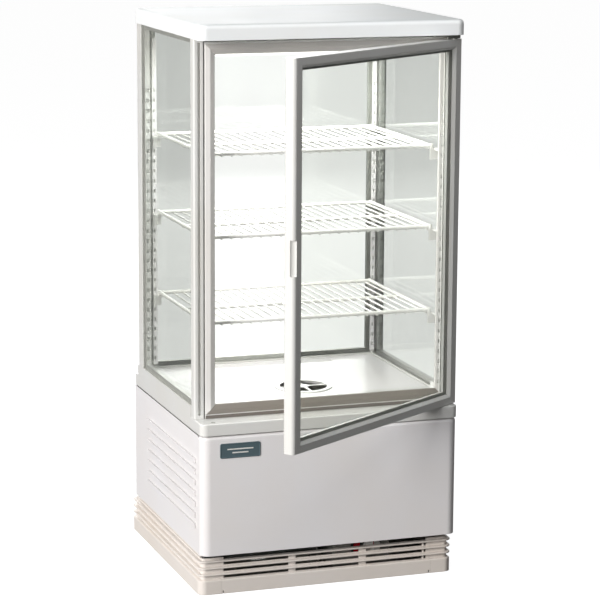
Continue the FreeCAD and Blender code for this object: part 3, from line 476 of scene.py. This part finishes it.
def badge():
    """Plain plate with a raised rim and two plain lines, no lettering."""
    low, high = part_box("badge_plate")
    half_x, half_z = (high.x - low.x) / 2, (high.z - low.z) / 2
    middle = (low + high) / 2
    thick = high.y - low.y
    shape = bmesh.new()
    rows = []
    rim = ((0, 0), (0, -0.75 * thick), (0.0004, -thick), (0.0016, -thick), (0.002, -0.7 * thick))
    for inset, deep in rim:
        outline = rounded_outline(half_x - inset, half_z - inset, 3 * MM - inset, 6)
        rows.append([shape.verts.new(point + Vector((0, deep, 0))) for point, normal in outline])
    count = len(rows[0])
    for near, far in zip(rows, rows[1:]):
        for index in range(count):
            after = (index + 1) % count
            shape.faces.new((near[index], near[after], far[after], far[index]))
    shape.faces.new(rows[-1])
    shape.faces.new(list(reversed(rows[0])))
    moved(shape, Matrix.Translation((middle.x, high.y, middle.z)))
    plate = finish_piece("badge", shape, "dark_plate", "cabinet")
    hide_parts("badge_plate")
    lines = bmesh.new()
    face = high.y - 0.7 * thick
    for up, wide in ((2.2, 21), (-3.4, 13)):
        block(lines, (middle.x - wide * MM, face - 0.25 * MM, middle.z + (up - 1.0) * MM),
              (middle.x + wide * MM, face + 0.1 * MM, middle.z + (up + 1.0) * MM))
    finish_piece("badge_lines", lines, "white_plastic", "cabinet", smooth=False)


def screws():
    """Pan heads with a raised cross for the drive, in place of the plain ones."""
    shapes = bmesh.new()
    for low, high in split_parts("screws"):
        size = high - low
        along_z = size.z < size.x * 0.7
        radius = size.x / 2
        tall = size.z if along_z else size.y
        head = lathe([(0, 0), (radius, 0), (radius, 0.3 * tall), (radius * 0.86, 0.72 * tall),
                      (radius * 0.5, tall), (0, tall)], 24)
        turn = Matrix.Rotation(random.uniform(0, math.pi), 4, "Z")
        moved(head, turn)
        middle = (low + high) / 2
        if along_z:
            place = Matrix.Translation((middle.x, middle.y, low.z))
        else:
            place = Matrix.Translation((middle.x, low.y, middle.z)) @ Matrix.Rotation(-math.pi / 2, 4, "X")
        moved(head, place)
        mesh = bpy.data.meshes.new("head")
        head.to_mesh(mesh)
        head.free()
        shapes.from_mesh(mesh)
        bpy.data.meshes.remove(mesh)
        slot_cross(shapes, place @ turn, radius, tall)
    heads = finish_piece("screw_heads", shapes, "zinc_steel", "cabinet")
    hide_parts("screws")


def slot_cross(shapes, place, radius, tall):
    """Two crossed bars, only just proud of a screw's head, that read as its drive."""
    for turn in (0, math.pi / 2):
        spin = place @ Matrix.Rotation(turn, 4, "Z")
        bar = block(shapes, (-0.6 * radius, -0.11 * radius, 0.9 * tall),
                    (0.6 * radius, 0.11 * radius, 1.02 * tall))
        bmesh.ops.transform(shapes, matrix=spin, verts=bar)


def split_parts(node):
    """Boxes of the separate solids inside one CAD node."""
    shape = bmesh.new()
    shape.from_mesh(nodes[node].data)
    bmesh.ops.remove_doubles(shape, verts=shape.verts, dist=1e-6)
    unseen = set(shape.verts)
    boxes = []
    while unseen:
        edge = [unseen.pop()]
        found = list(edge)
        while edge:
            vertex = edge.pop()
            for link in vertex.link_edges:
                other = link.other_vert(vertex)
                if other in unseen:
                    unseen.remove(other)
                    edge.append(other)
                    found.append(other)
        low = Vector([min(v.co[axis] for v in found) for axis in range(3)])
        high = Vector([max(v.co[axis] for v in found) for axis in range(3)])
        boxes.append((low, high))
    shape.free()
    return sorted(boxes, key=lambda pair: tuple(round(n, 4) for n in pair[0]))


# ---------------------------------------------------------------- controls and machinery

def dial():
    """Thermostat knob with a fluted skirt, a grip bar and a pointer line."""
    low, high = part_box("thermostat_knob")
    radius = (high.x - low.x) / 2
    middle = (low + high) / 2
    skirt = high.y - low.y
    knob = bmesh.new()
    rows = []
    steps = 120
    skirt_line = ((0.1, 0.0), (0.93, 0.0), (1.0, 0.1), (1.0, 0.55), (0.9, 0.72), (0.84, 0.76), (0.0, 0.76))
    for scale, height in skirt_line:
        row = []
        for step in range(steps):
            angle = 2 * math.pi * step / steps
            flute = 1 - 0.022 * (math.cos(angle * 24) > 0.2) if 0.05 < height < 0.7 else 1
            reach = radius * scale * flute
            row.append(knob.verts.new((reach * math.cos(angle), reach * math.sin(angle), height * skirt)))
        rows.append(row)
    for near, far in zip(rows, rows[1:]):
        for step in range(steps):
            after = (step + 1) % steps
            knob.faces.new((near[step], near[after], far[after], far[step]))
    bmesh.ops.remove_doubles(knob, verts=knob.verts, dist=1e-6)
    grip = block(knob, (-2.1 * MM, -0.8 * radius, 0.7 * skirt), (2.1 * MM, 0.8 * radius, skirt))
    edges = list({edge for vertex in grip for edge in vertex.link_edges})
    bmesh.ops.bevel(knob, geom=edges, offset=0.8 * MM, segments=2, affect="EDGES")
    face_out = Matrix.Translation((middle.x, high.y, middle.z)) @ Matrix.Rotation(math.pi / 2, 4, "X")
    moved(knob, face_out)
    piece = finish_piece("knob", knob, "white_plastic", "dial")
    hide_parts("thermostat_knob")
    mark = bmesh.new()
    block(mark, (-0.5 * MM, 0.2 * radius, skirt - 0.05 * MM), (0.5 * MM, 0.74 * radius, skirt + 0.15 * MM))
    moved(mark, face_out)
    finish_piece("knob_pointer", mark, "red_plastic", "dial", smooth=False)


def fan(name, node, body, joint):
    """Moulded fan: domed hub and five swept, twisted, thick blades."""
    low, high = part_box(node)
    axis = Vector(joints[joint]["axis"])
    centre = Vector(joints[joint]["pos_m"])
    reach = max(high.x - low.x, high.z - low.z if abs(axis.y) > 0.5 else high.y - low.y) / 2 - 0.5 * MM
    deep = (high - low).dot(Vector([abs(n) for n in axis]))
    hub = 9.5 * MM
    bore = 2.7 * MM
    shape = lathe([(bore, -deep / 2), (hub, -deep / 2), (hub, deep * 0.35), (hub * 0.8, deep * 0.47),
                   (0, deep / 2)], 40)
    blades = 5
    across, along = 10, 12
    for blade in range(blades):
        sheets = []
        for side in (-0.5, 0.5):
            sheet = []
            for i in range(along + 1):
                out = i / along
                radius = hub * 0.8 + (reach - hub * 0.8) * out
                sweep = 0.25 * out * out
                row = []
                for j in range(across + 1):
                    share = j / across - 0.5
                    width = 0.95 - 0.15 * out
                    round_tip = 1 - 0.25 * max(0.0, out - 0.75) * 4 * abs(share) * 2 * 0.5
                    angle = 2 * math.pi * blade / blades + sweep + share * width
                    rise = -share * deep * (0.85 - 0.3 * out) + 0.0012 * math.cos(share * math.pi)
                    edge = 1 - abs(share) * 1.2
                    thick = 1.5 * MM * max(0.25, edge)
                    r = radius * round_tip
                    height = rise + side * thick
                    row.append(shape.verts.new((r * math.cos(angle), r * math.sin(angle), height)))
                sheet.append(row)
            sheets.append(sheet)
        bottom, top = sheets
        for i in range(along):
            for j in range(across):
                shape.faces.new((top[i][j], top[i][j + 1], top[i + 1][j + 1], top[i + 1][j]))
                shape.faces.new((bottom[i][j], bottom[i + 1][j], bottom[i + 1][j + 1], bottom[i][j + 1]))
        for i in range(along):
            for j in (0, across):
                shape.faces.new((top[i][j], top[i + 1][j], bottom[i + 1][j], bottom[i][j]))
        for j in range(across):
            for i in (0, along):
                shape.faces.new((top[i][j], top[i][j + 1], bottom[i][j + 1], bottom[i][j]))
    turn = Vector((0, 0, 1)).rotation_difference(axis).to_matrix().to_4x4()
    moved(shape, Matrix.Translation(centre) @ turn)
    piece = finish_piece(name, shape, "black_plastic", body)
    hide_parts(node)


def pipework():
    """Copper lines and leads round the compressor and the condenser."""
    low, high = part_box("compressor")
    coil_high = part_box("condenser_coil")[1]
    x, y = ((low + high) / 2).xy
    coil_end = (coil_high.x + 6 * MM, coil_high.y - 8 * MM, coil_high.z - 16 * MM)
    tube("discharge_pipe", [
        (x - 40 * MM, y, high.z - 14 * MM), (x - 62 * MM, y - 10 * MM, high.z - 8 * MM),
        (10 * MM, 40 * MM, high.z - 10 * MM), (0.0, -60 * MM, high.z - 2 * MM), coil_end],
        2.6 * MM, "copper", "cabinet")
    tube("suction_pipe", [
        (x + 30 * MM, y + 20 * MM, high.z - 12 * MM), (x + 44 * MM, y + 34 * MM, high.z + 6 * MM),
        (x + 30 * MM, y + 48 * MM, high.z + 26 * MM), (x - 20 * MM, y + 44 * MM, high.z + 38 * MM)],
        3.4 * MM, "copper", "cabinet")
    tube("motor_lead", [
        (x + 40 * MM, y - 30 * MM, low.z + 40 * MM), (x + 52 * MM, y - 60 * MM, low.z + 20 * MM),
        (60 * MM, -90 * MM, 24 * MM), (60 * MM, -112 * MM, 40 * MM)],
        2.4 * MM, "black_plastic", "cabinet")
    shape = bmesh.new()
    block(shape, (x + 30 * MM, y - 55 * MM, low.z + 22 * MM), (x + 62 * MM, y - 15 * MM, low.z + 66 * MM))
    bmesh.ops.bevel(shape, geom=shape.edges[:], offset=3 * MM, segments=3, affect="EDGES")
    finish_piece("terminal_cover", shape, "black_plastic", "cabinet")


# ---------------------------------------------------------------- stage

def floor():
    """A wide pale floor that shows only a faint shadow and throws little light back up."""
    mesh = bpy.data.meshes.new("floor")
    half = 60.0
    corners = [(-half, -half, 0), (half, -half, 0), (half, half, 0), (-half, half, 0)]
    mesh.from_pydata(corners, [], [(0, 1, 2, 3)])
    ground = bpy.data.objects.new("floor", mesh)
    bpy.context.collection.objects.link(ground)
    material, tree = new_tree("pale_floor")
    seen = add(tree, "ShaderNodeLightPath").outputs["Is Camera Ray"]
    tone = mix_colour(tree, seen, (0.14, 0.14, 0.14, 1.0), (0.35, 0.35, 0.35, 1.0))
    bsdf = add(tree, "ShaderNodeBsdfPrincipled", Base_Color=tone, Roughness=0.9)
    bsdf.inputs["Specular IOR Level"].default_value = 0.0
    bsdf.inputs["Emission Color"].default_value = (1.0, 1.0, 1.0, 1.0)
    fill(tree, bsdf.inputs["Emission Strength"], maths(tree, "MULTIPLY", seen, 0.9))
    add(tree, "ShaderNodeOutputMaterial", Surface=bsdf.outputs[0])
    mesh.materials.append(material)


def world():
    """Soft surroundings, bright on the left and dim on the right; plain white to the camera."""
    scene_world = bpy.data.worlds.new("studio")
    bpy.context.scene.world = scene_world
    scene_world.use_nodes = True
    tree = scene_world.node_tree
    tree.nodes.clear()
    way = add(tree, "ShaderNodeTexCoord").outputs["Generated"]
    parts = add(tree, "ShaderNodeSeparateXYZ", Vector=way)
    sideways = ramp(tree, parts.outputs[0], -0.9, 0.35, 0.66, 0.04)
    behind = ramp(tree, parts.outputs[1], 0.2, 1.0, 0.0, 0.25)
    level = add(tree, "ShaderNodeMix", {"data_type": "FLOAT"})
    fill(tree, level.inputs[0], add(tree, "ShaderNodeLightPath").outputs["Is Camera Ray"])
    fill(tree, level.inputs[2], maths(tree, "ADD", sideways, behind))
    fill(tree, level.inputs[3], 1.0)
    back = add(tree, "ShaderNodeBackground", Strength=level.outputs[0])
    add(tree, "ShaderNodeOutputWorld", Surface=back.outputs[0])


def softbox(name, spot, target, size, power, colour=(1, 1, 1)):
    """A square area light that the camera doesn't see."""
    light = bpy.data.lights.new(name, "AREA")
    light.shape = "SQUARE"
    light.size = size
    light.energy = power
    light.color = colour
    lamp = bpy.data.objects.new(name, light)
    bpy.context.collection.objects.link(lamp)
    lamp.visible_camera = False
    lamp.location = spot
    lamp.rotation_mode = "QUATERNION"
    lamp.rotation_quaternion = (Vector(spot) - Vector(target)).to_track_quat("Z", "Y")


def lights():
    """Key light far off on the left, one over the top, one high in front, back fill, cabinet lamp."""
    world()
    softbox("key", (-4.0, -2.41, 1.61), (0, -0.1, 0.5), 1.6, 240, (1.0, 0.99, 0.98))
    softbox("top", (-0.1, -0.6, 3.2), (0, -0.1, 0.4), 1.4, 17, (0.97, 1.0, 1.0))
    softbox("front", (0.35, -1.0, 1.5), (0.0, -0.2, 0.88), 0.4, 2.2)
    softbox("fill", (0.8, 4.0, 1.7), (0, 0, 0.5), 1.6, 50)
    softbox("inside", (0, 0, 0.83), (0, 0, 0.3), 0.26, 2.5, (0.98, 1.0, 0.98))


def camera():
    """Stands left of the front, looking slightly down, with a long lens."""
    stand = (-1.2442, -3.6472, 1.1721)
    yaw, pitch, roll = math.radians(19.037), math.radians(11.012), math.radians(0.326)
    ahead = Vector((math.sin(yaw) * math.cos(pitch), math.cos(yaw) * math.cos(pitch), -math.sin(pitch)))
    right = Vector((math.cos(yaw), -math.sin(yaw), 0))
    up = right.cross(ahead)
    tilted_right = right * math.cos(roll) + up * math.sin(roll)
    tilted_up = up * math.cos(roll) - right * math.sin(roll)
    turn = Matrix((tilted_right, tilted_up, -ahead)).transposed().to_4x4()
    data = bpy.data.cameras.new("camera")
    data.sensor_width = 36
    data.lens = 145.65
    data.clip_end = 200
    thing = bpy.data.objects.new("camera", data)
    bpy.context.collection.objects.link(thing)
    thing.matrix_world = Matrix.Translation(stand) @ turn
    bpy.context.scene.camera = thing


dress_frame()
door_gasket()
breaker_strip()
ring_foot_shade()
badge()
screws()
dial()
fan("condenser_fan", "condenser_fan_blade", "condenser_fan", "condenser_fan_spin")
fan("evaporator_fan", "evaporator_fan_blade", "evaporator_fan", "evaporator_fan_spin")
pipework()
floor()
lights()
camera()
bpy.context.scene.view_settings.view_transform = "Standard"
